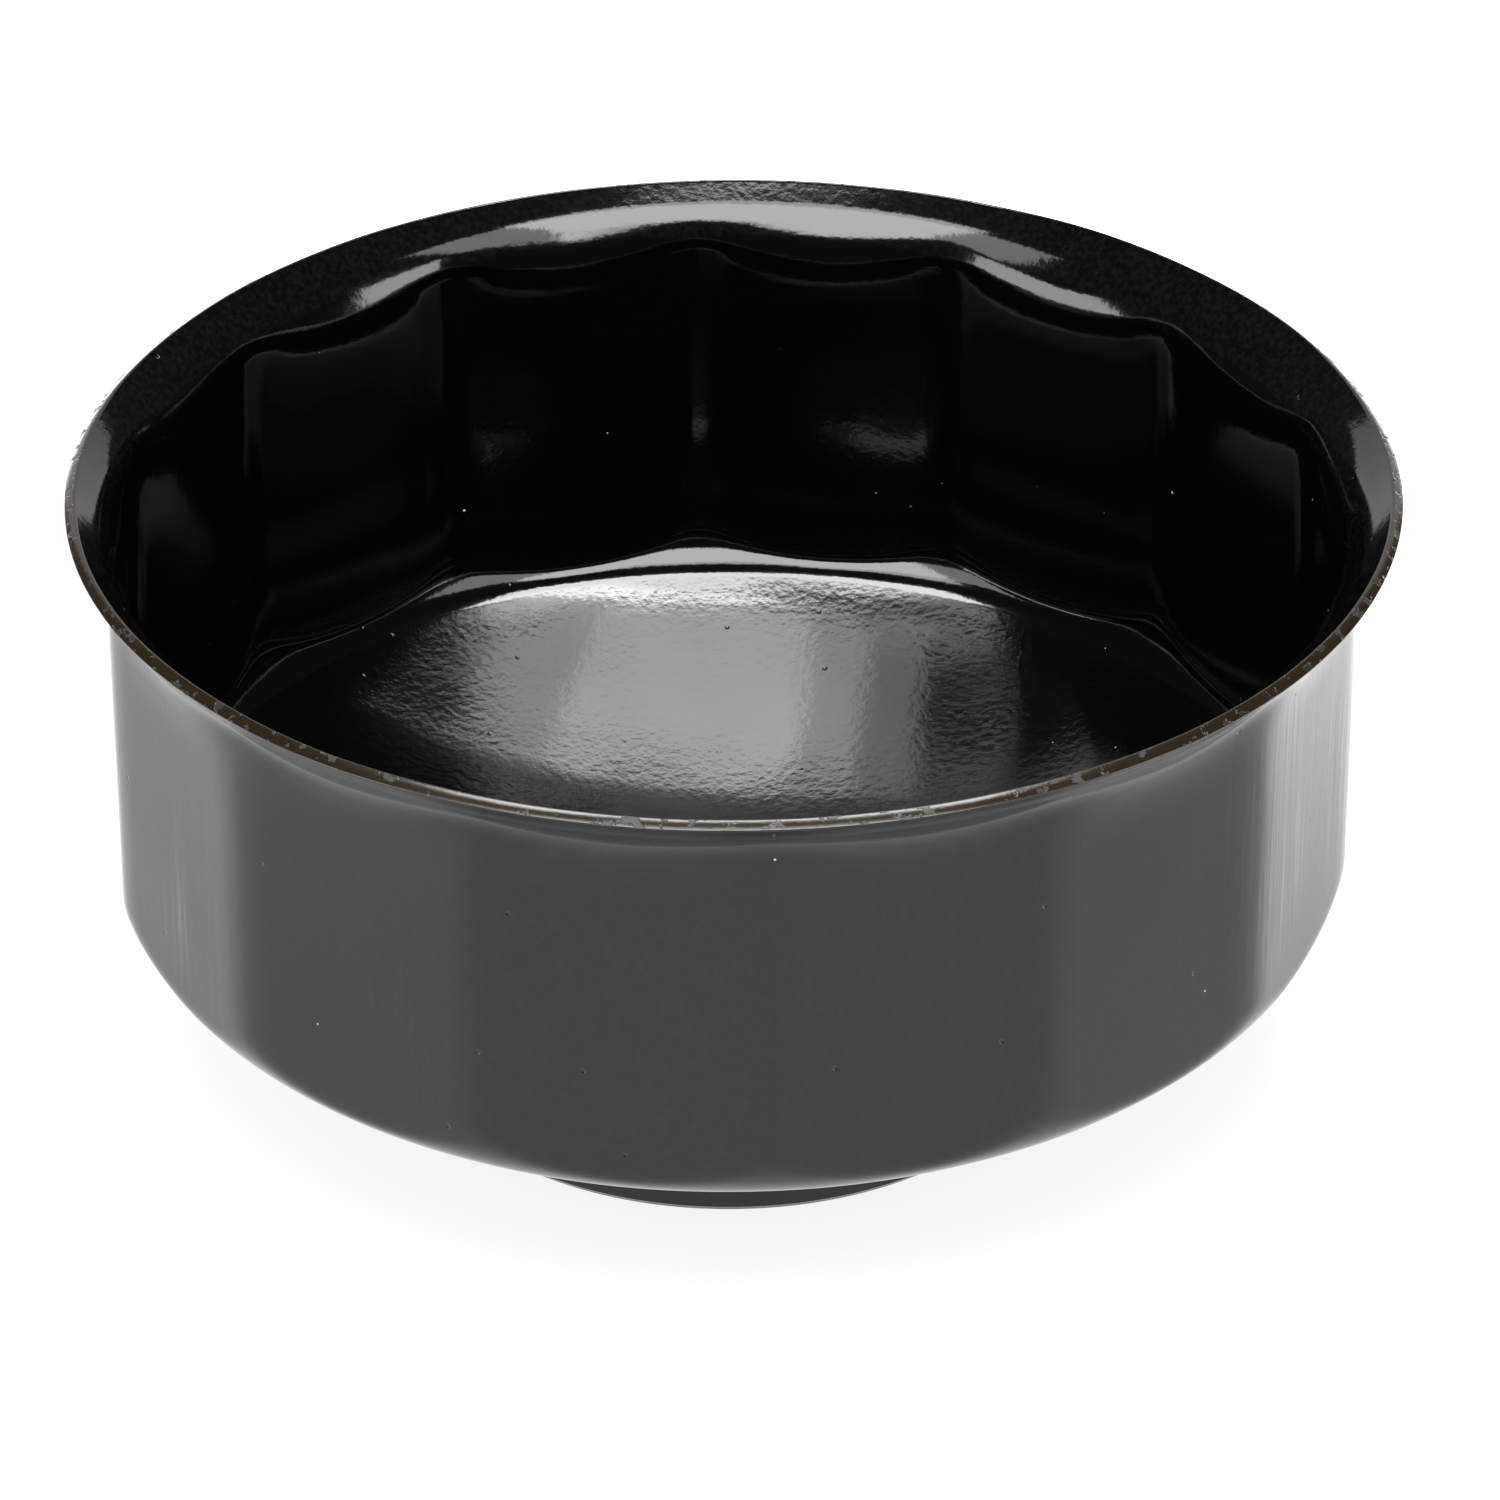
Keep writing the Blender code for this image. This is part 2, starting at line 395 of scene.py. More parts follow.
def press_depth(cup, outside, angle, height):
    """How far the press moves the sheet at an angle and a height, negative towards the axis."""
    pitch = 2 * pi / cup.flat_count
    index = int((angle + pitch / 2) // pitch) % cup.flat_count
    from_flat = (angle + pitch / 2) % pitch - pitch / 2
    apothem = cup.across_flats / 2 + cup.sheet + flat_offset(cup, index)
    flat = apothem / cos(from_flat)
    round_radius = interpolate(outside, height)
    mouth = fade(height, cup.flats_end, cup.round_start)
    return (soft_min(round_radius, flat, cup.ridge_softness) - round_radius) * (1 - mouth)


def press_cup(cup, bm):
    """Press the flats into the round cup, and give the sheet the unevenness of a real one."""
    outside = sheet_section(cup, 0.0)
    wall_wave = 0.011
    base_wave = 0.009
    base_edge = 0.026
    for vert in bm.verts:
        radius = hypot(vert.co.x, vert.co.y)
        angle = atan2(vert.co.y, vert.co.x)
        across = Vector((cos(angle), sin(angle), 0.0))
        reach = radius + press_depth(cup, outside, angle, vert.co.z)
        near_wall = fade(radius, cup.hole_radius, cup.wall_radius)
        reach += cup.unevenness * near_wall * noise.noise(vert.co / wall_wave)
        lift = cup.unevenness * fade(radius, cup.hole_radius * 2, base_edge) * noise.noise(
            across * radius / base_wave + Vector((5.0, 2.0, 7.0)))
        lip = fade(vert.co.z, cup.flats_end, MOUTH_HEIGHT)
        reach += lip * (cup.run_out * across.x + cup.unevenness * 2.0 * noise.noise(across * 3.1))
        lift -= lip * cup.unevenness * (1.0 + noise.noise(across * 9.0))
        vert.co = across * reach + Vector((0.0, 0.0, vert.co.z + lift * (1 - near_wall * 0.5)))


def lip_edges(cup, bm):
    """The two edge loops round the lip, and the two round the middle hole."""
    corners = [
        sheet_section(cup, 0.0)[-1], sheet_section(cup, cup.sheet)[-1],
        sheet_section(cup, 0.0)[0], sheet_section(cup, cup.sheet)[0]]
    edges = []
    for edge in bm.edges:
        for radius, height in corners:
            if all(hypot(hypot(vert.co.x, vert.co.y) - radius, vert.co.z - height) < 2e-5
                   for vert in edge.verts):
                edges.append(edge)
    return edges


def mark_cut_edge(cup, bm):
    """Store how much each vertex belongs to the lip's cut edge."""
    layer = bm.verts.layers.float.new("cut_edge")
    outer = sheet_section(cup, 0.0)[-1]
    inner = sheet_section(cup, cup.sheet)[-1]
    width = hypot(inner[0] - outer[0], inner[1] - outer[1])
    out = ((inner[1] - outer[1]) / width, (outer[0] - inner[0]) / width)
    for vert in bm.verts:
        radius = hypot(vert.co.x, vert.co.y)
        beyond = (radius - outer[0]) * out[0] + (vert.co.z - outer[1]) * out[1]
        vert[layer] = fade(beyond, -cup.lip_round * 0.8, -cup.lip_round * 0.1)


def make_cup(cup, enamel):
    """Spin the sheet's closed section, round its edges, then press the flats."""
    bm = bmesh.new()
    outline = sheet_section(cup, 0.0) + sheet_section(cup, cup.sheet)[::-1]
    spin_outline(bm, outline, AROUND)
    bmesh.ops.bevel(
        bm, geom=lip_edges(cup, bm), offset=cup.lip_round, segments=3, profile=0.5,
        affect="EDGES", material=-1)
    mark_cut_edge(cup, bm)
    press_cup(cup, bm)
    bmesh.ops.recalc_face_normals(bm, faces=bm.faces)
    return link_mesh("pressed_cup", bm, cup_enamel(enamel, cup))


# Turned hub

def square_reach(angle, half, corner_round):
    """Distance from the centre to a rounded square's side at an angle."""
    across = abs(cos(angle))
    along = abs(sin(angle))
    straight = half / max(across, along)
    inner = half - corner_round
    low = min(across, along) * straight
    if low <= inner:
        return straight
    side = inner * (across + along)
    return side + sqrt(side * side - 2 * inner * inner + corner_round * corner_round)


def hub_rings(hub):
    """The hub's closed section as rings: squareness, reach and height, from the hole's top."""
    top = PAD_UNDERSIDE - hub.clearance
    half = hub.square_drive / 2
    outer = HUB_RADIUS
    edge = 0.0001
    rings = [(1, half, top - edge), (1, half + edge, top), (0, half * 1.65, top)]
    rings += [(0, outer * 0.7, top), (0, outer - hub.chamfer - edge, top)]
    rings += [(0, outer - hub.chamfer, top - edge / 3), (0, outer - edge, top - hub.chamfer)]
    rings += [(0, outer, top - hub.chamfer - edge), (0, outer, top / 2)]
    rings += [(0, outer, hub.chamfer + edge), (0, outer - edge, hub.chamfer)]
    rings += [(0, outer - hub.chamfer, edge / 3), (0, outer - hub.chamfer - edge, 0.0)]
    rings += [(0, outer * 0.7, 0.0), (0, half * 1.9, 0.0)]
    rings += [(1, half + hub.square_chamfer, 0.0), (1, half, hub.square_chamfer)]
    rings += [(1, half, top / 2)]
    return rings


def move_ring(verts, hub, ring):
    """Put a ring of vertices at its reach and height, round or square."""
    squareness, reach, height = ring
    for vert in verts:
        angle = atan2(vert.co.y, vert.co.x)
        distance = square_reach(angle, reach, hub.corner_round) if squareness else reach
        vert.co = Vector((distance * cos(angle), distance * sin(angle), height))


def make_hub(hub, enamel):
    """Grow the hub ring by ring from its square hole, round the outside and back into the hole."""
    bm = bmesh.new()
    bmesh.ops.create_circle(bm, cap_ends=False, radius=1.0, segments=HUB_AROUND)
    start_edges = list(bm.edges)
    rings = hub_rings(hub)
    move_ring(bm.verts, hub, rings[0])
    edges = start_edges
    for ring in rings[1:]:
        grown = bmesh.ops.extrude_edge_only(bm, edges=edges)["geom"]
        verts = [item for item in grown if isinstance(item, bmesh.types.BMVert)]
        edges = [
            item for item in grown if isinstance(item, bmesh.types.BMEdge)
            and item.verts[0] in verts and item.verts[1] in verts]
        move_ring(verts, hub, ring)
    bmesh.ops.bridge_loops(bm, edges=start_edges + edges)
    bmesh.ops.recalc_face_normals(bm, faces=bm.faces)
    return link_mesh("turned_hub", bm, hub_enamel(enamel), radians(30))


# Fillet welds

def underside_height(cup, radius):
    """Height of the base's underside at a radius."""
    points = base_section(cup, 0.0)
    for (r0, z0), (r1, z1) in zip(points, points[1:]):
        if r0 <= radius <= r1:
            return z0 + (z1 - z0) * (radius - r0) / (r1 - r0)
    return points[-1][1]


def weld_outline(cup, weld):
    """The fillet's section: its root over the hub's edge, then out, down its face and back."""
    sink = 0.00015
    crown_height = 0.0003
    steps = 9
    side = HUB_RADIUS - sink
    outer = HUB_RADIUS + weld.leg_out
    hub_top = PAD_UNDERSIDE - sink
    far_in = HUB_RADIUS - weld.reach_in
    toe_out = (outer, underside_height(cup, outer) + sink / 2)
    toe_down = (side, underside_height(cup, side) - weld.leg_down)
    face = []
    for step in range(1, steps):
        share = step / steps
        crown = sin(pi * share) * crown_height
        across = toe_out[0] + (toe_down[0] - toe_out[0]) * share
        height = toe_out[1] + (toe_down[1] - toe_out[1]) * share
        face.append((across + crown, height - crown))
    back = [(far_in, hub_top), (far_in, underside_height(cup, far_in) + sink)]
    return [(side, hub_top)] + back + [toe_out] + face + [toe_down]


def shape_weld(bm, weld, root, seed):
    """Taper both ends of a weld into its root, and raise its ripples."""
    half = weld.span / 2
    taper = 0.16
    thinnest = 0.2
    lumps = 0.00016
    for vert in bm.verts:
        radius = hypot(vert.co.x, vert.co.y)
        angle = atan2(vert.co.y, vert.co.x)
        from_end = (half - abs(angle)) / half
        size = sqrt(max(0.0, 1 - (1 - min(1.0, from_end / taper)) ** 2))
        size = thinnest + (1 - thinnest) * size
        out = hypot(radius - root[0], vert.co.z - root[1])
        crest = cos(2 * pi * weld.ripples * (angle / weld.span + out * 40))
        ripple = 1 + (weld.ripple_depth * crest + lumps * noise.noise(
            Vector((angle * 22, out * 300, seed)))) / max(out, 0.001)
        radius = root[0] + (radius - root[0]) * size * ripple
        height = root[1] + (vert.co.z - root[1]) * size * ripple
        vert.co = Vector((radius * cos(angle), radius * sin(angle), height))


def make_weld(index, cup, weld, material):
    """Spin the fillet's section over its span, then shape it and turn it to its place."""
    outline = weld_outline(cup, weld)
    bm = bmesh.new()
    verts = [bm.verts.new((radius, 0.0, height)) for radius, height in outline]
    face = bm.faces.new(verts)
    start = Matrix.Rotation(-weld.span / 2, 4, "Z")
    bmesh.ops.transform(bm, matrix=start, verts=bm.verts)
    bmesh.ops.spin(
        bm, geom=[face], cent=(0, 0, 0), axis=(0, 0, 1), angle=weld.span, steps=110,
        use_merge=False)
    shape_weld(bm, weld, outline[0], index * 5.3)
    low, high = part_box(WELD_NODES[index])
    middle = (low + high) / 2
    place = Matrix.Rotation(atan2(middle.y, middle.x), 4, "Z")
    bmesh.ops.transform(bm, matrix=place, verts=bm.verts)
    bmesh.ops.recalc_face_normals(bm, faces=bm.faces)
    return link_mesh(f"fillet_weld_{index + 1}", bm, material, radians(50))


# Materials

def add_node(tree, kind, inputs=None, **settings):
    """Add a node, set its own settings, then give each input a value or a link."""
    made = tree.nodes.new(kind)
    for name, value in settings.items():
        setattr(made, name, value)
    for name, value in (inputs or {}).items():
        if isinstance(value, bpy.types.NodeSocket):
            tree.links.new(value, made.inputs[name])
        else:
            made.inputs[name].default_value = value
    return made


def calculate(tree, operation, first, second=0.0):
    """The result of a Math node."""
    return add_node(tree, "ShaderNodeMath", {0: first, 1: second}, operation=operation).outputs[0]


def ramp(tree, value, low, high):
    """Go smoothly from 0 at low to 1 at high."""
    made = add_node(
        tree, "ShaderNodeMapRange", {"Value": value, "From Min": low, "From Max": high},
        interpolation_type="SMOOTHSTEP")
    return made.outputs["Result"]


def placed(tree, offset=(0.0, 0.0, 0.0), scale=(1.0, 1.0, 1.0)):
    """Object coordinates, moved and stretched."""
    source = add_node(tree, "ShaderNodeTexCoord").outputs["Object"]
    made = add_node(tree, "ShaderNodeMapping", {"Vector": source, "Location": offset, "Scale": scale})
    return made.outputs["Vector"]


def noise_value(tree, vector, size, detail=2.0, roughness=0.5):
    """Noise from 0 to 1 whose features are about size metres wide."""
    made = add_node(
        tree, "ShaderNodeTexNoise",
        {"Vector": vector, "Scale": 1 / size, "Detail": detail, "Roughness": roughness})
    return made.outputs["Fac"]


def scattered(tree, vector, spacing, size, share):
    """Round spots of a size, in a share of the cells of a grid with that spacing."""
    cells = add_node(tree, "ShaderNodeTexVoronoi", {"Vector": vector, "Scale": 1 / spacing})
    spot = calculate(tree, "SUBTRACT", 1.0, ramp(tree, cells.outputs["Distance"],
                                                 size / spacing * 0.5, size / spacing))
    pick = add_node(tree, "ShaderNodeSeparateColor", {"Color": cells.outputs["Color"]})
    chosen = calculate(tree, "LESS_THAN", pick.outputs["Red"], share)
    return calculate(tree, "MULTIPLY", spot, chosen)


def mix_colour(tree, share, first, second):
    """Go from the first colour to the second by a share."""
    made = add_node(
        tree, "ShaderNodeMix", {"Factor": share, 6: first, 7: second}, data_type="RGBA")
    return made.outputs[2]


def add_up(tree, values):
    """Sum of several sockets."""
    total = values[0]
    for value in values[1:]:
        total = calculate(tree, "ADD", total, value)
    return total


def start_enamel(name, roughness):
    """A material with its tree and shader."""
    material = bpy.data.materials.new(name)
    material.use_nodes = True
    tree = material.node_tree
    shader = tree.nodes["Principled BSDF"]
    shader.inputs["IOR"].default_value = 1.5
    shader.inputs["Roughness"].default_value = roughness
    return material, tree, shader


def finish_enamel(tree, shader, colour, roughness, height):
    """Join the worked out colour, roughness and height to the shader."""
    tree.links.new(colour, shader.inputs["Base Color"])
    tree.links.new(roughness, shader.inputs["Roughness"])
    bump = add_node(
        tree, "ShaderNodeBump", {"Height": height, "Distance": 1.0, "Strength": 1.0})
    tree.links.new(bump.outputs["Normal"], shader.inputs["Normal"])


def peel_height(tree, enamel, vector):
    """Fine orange peel over a broader waviness of the film."""
    fine = noise_value(tree, vector, enamel.peel_size, 2.5, 0.55)
    broad = noise_value(tree, vector, 0.0075, 1.0)
    return add_up(tree, [
        calculate(tree, "MULTIPLY", fine, enamel.peel_depth),
        calculate(tree, "MULTIPLY", broad, FILM_WAVES)])


def outer_masks(tree, cup, height):
    """Where the cup's outer side is, and the straight part of the wall on it."""
    from_axis = add_node(
        tree, "ShaderNodeVectorMath", {"Vector": placed(tree, scale=(1.0, 1.0, 0.0))},
        operation="LENGTH").outputs["Value"]
    outer_side = ramp(tree, from_axis, cup.wall_radius - 0.00094, cup.wall_radius - 0.00084)
    above_bend = ramp(tree, height, cup.corner_height - 0.004, cup.corner_height + 0.006)
    below_flare = ramp(tree, height, MOUTH_HEIGHT - 0.0035, MOUTH_HEIGHT - 0.0060)
    on_wall = calculate(tree, "MULTIPLY", above_bend, below_flare)
    return outer_side, calculate(tree, "MULTIPLY", on_wall, outer_side)


def draw_marks(tree, on_wall, across):
    """Upright marks from the press: where they are, their height, and the painted sheen laid pale along
    them on the side facets.
    """
    drawn = placed(tree, scale=(1.0, 1.0, 0.035))
    patches = ramp(tree, noise_value(tree, placed(tree, (0.31, 0.17, 0.0), (1, 1, 0.5)), 0.012),
                   0.40, 0.62)
    marks = calculate(tree, "MULTIPLY", on_wall, patches)
    streaks = noise_value(tree, drawn, 0.0006, 3.0, 0.6)
    marks_height = calculate(tree, "MULTIPLY", streaks, marks)
    # Pale streaks along the marks; the next line keeps them to the left and right facets, as painted
    # sheen where the marks catch the light
    sheened = calculate(tree, "MULTIPLY", marks, ramp(tree, streaks, 0.46, 0.72))
    aside = ramp(tree, calculate(tree, "ABSOLUTE", across), 0.0290, 0.0345)
    return marks, marks_height, calculate(tree, "MULTIPLY", sheened, aside)


def lip_wear(tree):
    """The lip's cut edge, and the chips along it."""
    cut_edge = add_node(
        tree, "ShaderNodeAttribute", attribute_name="cut_edge").outputs["Fac"]
    ragged = noise_value(tree, placed(tree, (0.05, 0.4, 0.0), (1, 1, 1.6)), 0.0011, 3.0, 0.6)
    worn_zone = ramp(tree, noise_value(tree, placed(tree, (0.9, 0.2, 0.0)), 0.014), 0.38, 0.56)
    chips = calculate(tree, "MULTIPLY", calculate(tree, "MULTIPLY", cut_edge, worn_zone),
                      ramp(tree, ragged, 0.57, 0.60))
    return cut_edge, chips


def cup_enamel(enamel, cup):
    """Gloss black enamel over drawn steel: peel, draw marks with painted sheen streaks on the side
    facets, pits, dust, and a chipped lip.
    """
    material, tree, shader = start_enamel("cup_enamel", enamel.roughness)
    here = placed(tree)
    parts = add_node(tree, "ShaderNodeSeparateXYZ", {"Vector": here})
    outer_side, on_wall = outer_masks(tree, cup, parts.outputs["Z"])
    marks, marks_height, painted_sheen_streaks = draw_marks(tree, on_wall, parts.outputs["X"])
    cut_edge, chips = lip_wear(tree)
    grain = calculate(
        tree, "MULTIPLY", ramp(tree, noise_value(tree, here, 0.0004, 3.0, 0.6), 0.35, 0.75), 0.03)
    # Share of the pale grey: painted sheen streaks on the side facets, plus real fine grain over the
    # outer side
    film = calculate(tree, "ADD", painted_sheen_streaks, calculate(tree, "MULTIPLY", grain, outer_side))
    pits = scattered(tree, placed(tree, (0.2, 0.1, 0.4)), 0.0021, 0.0002, 0.22)
    specks = scattered(tree, placed(tree, (0.7, 0.3, 0.9)), 0.0034, 0.00012, 0.20)
    black = (*enamel.black, 1.0)
    colour = mix_colour(tree, film, black, (*enamel.pale_grain_and_sheen, 1.0))
    colour = mix_colour(tree, specks, colour, (*enamel.dust, 1.0))
    colour = mix_colour(tree, cut_edge, colour, (*enamel.cut_brown, 1.0))
    colour = mix_colour(tree, chips, colour, (*enamel.chip_dark, 1.0))
    patchy = calculate(
        tree, "MULTIPLY", noise_value(tree, placed(tree, (0.4, 0.6, 0.2)), 0.006, 2.0), 0.06)
    rough = add_up(tree, [
        calculate(tree, "ADD", patchy, enamel.roughness - 0.03),
        calculate(tree, "MULTIPLY", marks, 0.08),
        calculate(tree, "MULTIPLY", cut_edge, 0.10),
        calculate(tree, "MULTIPLY", chips, 0.35)])
    heights = add_up(tree, [
        peel_height(tree, enamel, here),
        calculate(tree, "MULTIPLY", marks_height, DRAW_MARK_HEIGHT),
        calculate(tree, "MULTIPLY", pits, -PIT_DEPTH),
        calculate(tree, "MULTIPLY", specks, SPECK_HEIGHT),
        calculate(tree, "MULTIPLY", chips, -CHIP_DEPTH)])
    finish_enamel(tree, shader, colour, rough, heights)
    return material


def hub_enamel(enamel):
    """The same enamel over turned steel, whose tool marks run round the axis, given a browner, lighter
    tone as painted reflection.
    """
    material, tree, shader = start_enamel("hub_enamel", enamel.roughness + 0.1)
    here = placed(tree, (0.13, 0.0, 0.0))
    rings = add_node(
        tree, "ShaderNodeTexWave",
        {"Vector": placed(tree), "Scale": 1 / 0.0011, "Distortion": 1.2, "Detail": 1.0},
        wave_type="RINGS", rings_direction="Z")
    side_marks = noise_value(tree, placed(tree, scale=(0.05, 0.05, 1.0)), 0.0003, 2.0)
    specks = scattered(tree, placed(tree, (0.5, 0.8, 0.1)), 0.003, 0.00009, 0.2)
    # The hub's base colour is the browner tone painted in for reflected light
    colour = mix_colour(tree, specks, (*enamel.hub_reflection_tint, 1.0), (*enamel.dust, 1.0))
    patchy = calculate(tree, "MULTIPLY", noise_value(tree, here, 0.004, 2.0), 0.12)
    rough = calculate(tree, "ADD", patchy, enamel.roughness + 0.04)
    heights = add_up(tree, [
        peel_height(tree, enamel, here),
        calculate(tree, "MULTIPLY", rings.outputs["Fac"], FACING_MARK_HEIGHT),
        calculate(tree, "MULTIPLY", side_marks, SIDE_MARK_HEIGHT)])
    finish_enamel(tree, shader, colour, rough, heights)
    return material


def weld_enamel(enamel):
    """The same enamel, thinner and rougher over the welds, with spatter showing through, on the hub's
    painted reflection tone.
    """
    material, tree, shader = start_enamel("weld_enamel", enamel.roughness + 0.12)
    here = placed(tree, (0.0, 0.27, 0.0))
    spatter = scattered(tree, here, 0.0012, 0.00022, 0.35)
    grain = noise_value(tree, here, 0.0009, 3.0, 0.6)
    # The welds' base colour is the hub's browner tone painted in for reflected light
    colour = mix_colour(tree, calculate(tree, "MULTIPLY", spatter, 0.4),
                        (*enamel.hub_reflection_tint, 1.0), (*enamel.bare_steel, 1.0))
    rough = calculate(tree, "ADD", calculate(tree, "MULTIPLY", grain, 0.2), enamel.roughness)
    heights = add_up(tree, [
        peel_height(tree, enamel, here),
        calculate(tree, "MULTIPLY", grain, WELD_GRAIN_HEIGHT),
        calculate(tree, "MULTIPLY", spatter, SPATTER_HEIGHT)])
    finish_enamel(tree, shader, colour, rough, heights)
    return material


# Stage

def floor_material(stage):
    """Matt pale paper with a faint tooth, lit from below and more so to the sides."""
    material = bpy.data.materials.new("pale_paper")
    material.use_nodes = True
    tree = material.node_tree
    shader = tree.nodes["Principled BSDF"]
    shader.inputs["Roughness"].default_value = 0.9
    shader.inputs["Specular IOR Level"].default_value = 0.0
    tooth = noise_value(tree, placed(tree), 0.0006, 2.0)
    shade = tuple(channel * 0.985 for channel in stage.floor_colour)
    colour = mix_colour(tree, tooth, (*stage.floor_colour, 1.0), (*shade, 1.0))
    tree.links.new(colour, shader.inputs["Base Color"])
    sides = add_node(tree, "ShaderNodeSeparateXYZ", {"Vector": placed(tree)})
    across = sides.outputs["X"]
    behind = calculate(tree, "ADD", across, sides.outputs["Y"])
    glow = add_up(tree, [
        calculate(tree, "MULTIPLY", ramp(tree, behind, 0.03, 0.24), stage.right_glow),
        calculate(tree, "MULTIPLY", ramp(tree, across, -0.05, -0.17), stage.left_glow)])
    glow = calculate(tree, "ADD", glow, stage.floor_glow)
    shader.inputs["Emission Color"].default_value = (1.0, 1.0, 1.0, 1.0)
    tree.links.new(glow, shader.inputs["Emission Strength"])
    return material


def make_floor(stage):
    """Lay the floor just under the hub."""
    bm = bmesh.new()
    bmesh.ops.create_grid(bm, x_segments=1, y_segments=1, size=stage.floor_size / 2)
    bmesh.ops.translate(bm, vec=(0.0, 0.0, HUB_LOW.z - 0.0001), verts=bm.verts)
    floor = link_mesh("studio_floor", bm, floor_material(stage))


def add_softbox(name, azimuth, elevation, size, radiance, distance=0.8):
    """A rectangular light that faces the cup; azimuth runs from +Y, clockwise seen from above."""
    data = bpy.data.lights.new(name, "AREA")
    data.shape = "RECTANGLE"
    data.size, data.size_y = size
    data.energy = radiance * pi * size[0] * size[1]
    light = bpy.data.objects.new(name, data)
    bpy.context.scene.collection.objects.link(light)
    level = distance * cos(elevation)
    light.location = (level * sin(azimuth), level * cos(azimuth), distance * sin(elevation))
    aim = Vector((0.0, 0.0, MOUTH_HEIGHT / 2)) - light.location
    light.rotation_euler = aim.to_track_quat("-Z", "Y").to_euler()


def add_lights(stage):
    """The softboxes, placed by their angle from the camera's side or from behind the cup."""
    front = pi + stage.azimuth
    back = front + pi
    add_softbox("top_softbox", back + radians(7), radians(69), (0.20, 0.33), 2.8)
    add_softbox("top_wide", back + radians(9), radians(69), (0.33, 0.33), 2.6)
    add_softbox("top_widest", back + radians(11), radians(69), (0.46, 0.33), 2.4)
    add_softbox("top_strip", back, radians(85), (0.60, 0.16), 18.0)
    add_softbox("backdrop", back, radians(24), (1.70, 0.90), 0.85, 1.2)
    add_softbox("front_softbox", front + radians(3), radians(55.5), (0.92, 0.46), 7.5)
    add_softbox("front_fill", front, radians(54), (1.90, 0.42), 3.5, 0.9)
    add_softbox("left_softbox", front + radians(61), radians(13), (0.30, 0.36), 6.5)
    add_softbox("right_softbox", front - radians(66), radians(12), (0.24, 0.34), 6.5)


def add_sky(stage):
    """Light everything faintly and evenly from all round."""
    world = bpy.data.worlds.new("white_room")
    world.use_nodes = True
    background = world.node_tree.nodes["Background"]
    background.inputs["Color"].default_value = (1.0, 1.0, 1.0, 1.0)
    background.inputs["Strength"].default_value = stage.sky
    bpy.context.scene.world = world


def add_camera(stage):
    """Place the camera by its angles round the cup, and make it the scene's camera."""
    turn = stage.azimuth
    ahead = Vector((cos(stage.elevation) * sin(turn), cos(stage.elevation) * cos(turn),
                    -sin(stage.elevation)))
    level_right = Vector((cos(turn), -sin(turn), 0.0))
    right = Matrix.Rotation(-stage.roll, 3, ahead) @ level_right
    up = right.cross(ahead)
    aim = level_right * stage.aside + Vector((0.0, 0.0, stage.aim_height))
    data = bpy.data.cameras.new("camera")
    data.sensor_width = 36.0
    data.lens = stage.lens
    data.clip_start = 0.01
    camera = bpy.data.objects.new("camera", data)
    axes = Matrix((right, up, -ahead)).transposed().to_4x4()
    camera.matrix_world = Matrix.Translation(aim - ahead * stage.distance) @ axes
    bpy.context.scene.collection.objects.link(camera)
    bpy.context.scene.camera = camera


# Add-on

def present(piece, node):
    """Let a piece ride on the tool and stand for its plain node, which is hidden."""
    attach(piece, "root")
    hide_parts(node)


class CAPWRENCH_OT_press_cup(bpy.types.Operator):
    """Press the fourteen-sided cup with its flared mouth and dished base"""
    bl_idname = "cap_wrench.press_cup"
    bl_label = "Press Cup"

    def execute(self, context):
        cup = make_cup(context.scene.cap_wrench_cup, context.scene.cap_wrench_enamel)
        present(cup, "cup_shell")
        return {"FINISHED"}


class CAPWRENCH_OT_turn_hub(bpy.types.Operator):
    """Turn the round hub with its square drive hole"""
    bl_idname = "cap_wrench.turn_hub"
    bl_label = "Turn Hub"

    def execute(self, context):
        hub = make_hub(context.scene.cap_wrench_hub, context.scene.cap_wrench_enamel)
        present(hub, "drive_hub")
        return {"FINISHED"}


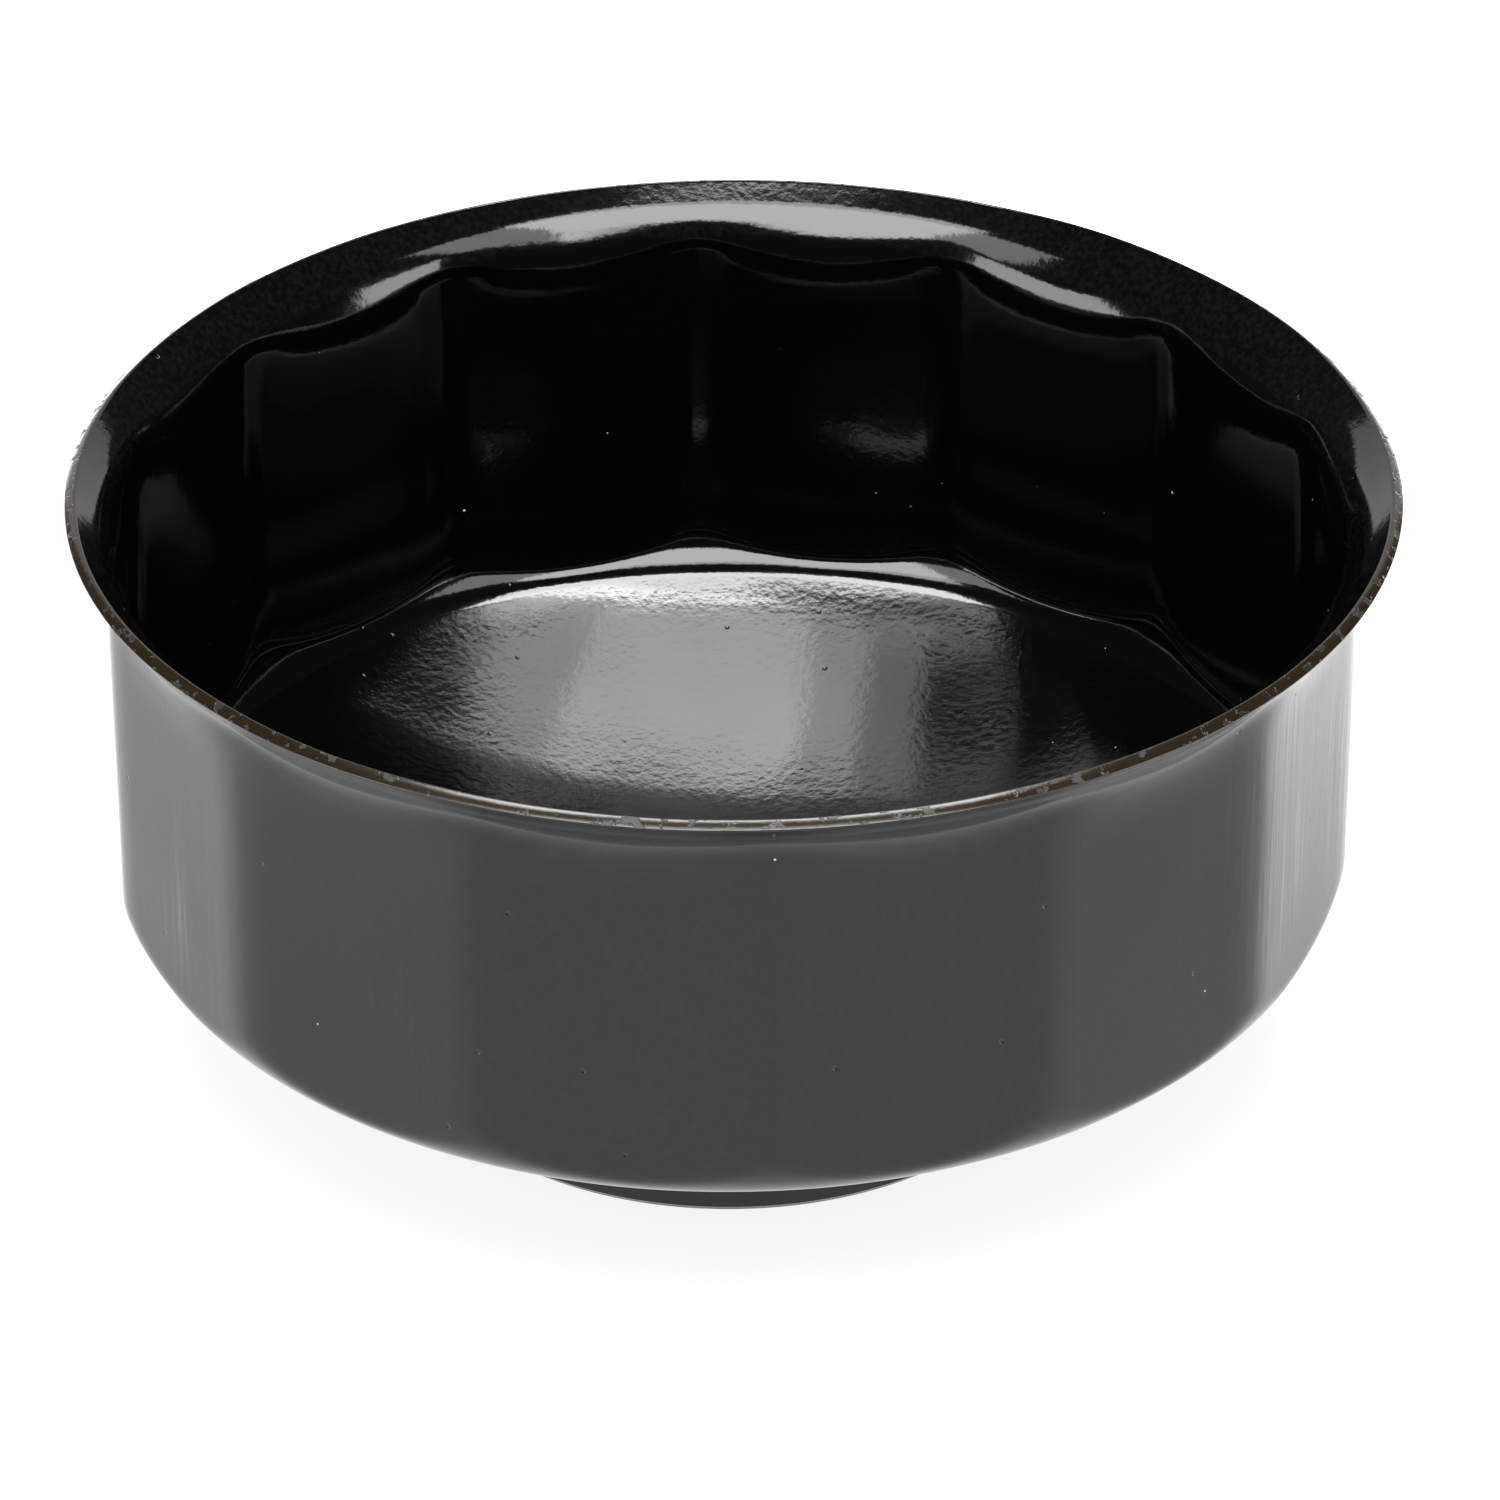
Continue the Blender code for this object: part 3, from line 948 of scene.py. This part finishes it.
class CAPWRENCH_OT_lay_welds(bpy.types.Operator):
    """Lay the rippled fillet welds that hold the hub to the base"""
    bl_idname = "cap_wrench.lay_welds"
    bl_label = "Lay Welds"

    def execute(self, context):
        material = weld_enamel(context.scene.cap_wrench_enamel)
        for index, node in enumerate(WELD_NODES):
            bead = make_weld(
                index, context.scene.cap_wrench_cup, context.scene.cap_wrench_weld, material)
            present(bead, node)
        return {"FINISHED"}


class CAPWRENCH_OT_set_stage(bpy.types.Operator):
    """Set the pale floor, the softboxes, the white surround and the camera"""
    bl_idname = "cap_wrench.set_stage"
    bl_label = "Set Stage"

    def execute(self, context):
        stage = context.scene.cap_wrench_stage
        context.scene.view_settings.view_transform = "Standard"
        make_floor(stage)
        add_lights(stage)
        add_sky(stage)
        add_camera(stage)
        return {"FINISHED"}


OPERATORS = (
    CAPWRENCH_OT_press_cup,
    CAPWRENCH_OT_turn_hub,
    CAPWRENCH_OT_lay_welds,
    CAPWRENCH_OT_set_stage,
)

SETTINGS = {
    "cap_wrench_cup": CupSettings,
    "cap_wrench_hub": HubSettings,
    "cap_wrench_weld": WeldSettings,
    "cap_wrench_enamel": EnamelSettings,
    "cap_wrench_stage": StageSettings,
}


class CAPWRENCH_PT_panel(bpy.types.Panel):
    """The wrench's pieces and its stage"""
    bl_label = "Cap Wrench"
    bl_idname = "CAPWRENCH_PT_panel"
    bl_space_type = "VIEW_3D"
    bl_region_type = "UI"
    bl_category = "Cap Wrench"

    def draw(self, context):
        for operator in OPERATORS:
            self.layout.operator(operator.bl_idname)
        for name, group in SETTINGS.items():
            box = self.layout.box()
            for prop in group.__annotations__:
                box.prop(getattr(context.scene, name), prop)


def register():
    for group in SETTINGS.values():
        bpy.utils.register_class(group)
    for name, group in SETTINGS.items():
        setattr(bpy.types.Scene, name, PointerProperty(type=group))
    for item in (*OPERATORS, CAPWRENCH_PT_panel):
        bpy.utils.register_class(item)


def unregister():
    for item in (CAPWRENCH_PT_panel, *reversed(OPERATORS)):
        bpy.utils.unregister_class(item)
    for name, group in SETTINGS.items():
        delattr(bpy.types.Scene, name)
        bpy.utils.unregister_class(group)


def main():
    register()
    bpy.ops.cap_wrench.press_cup()
    bpy.ops.cap_wrench.turn_hub()
    bpy.ops.cap_wrench.lay_welds()
    bpy.ops.cap_wrench.set_stage()


if __name__ == "__main__":
    main()
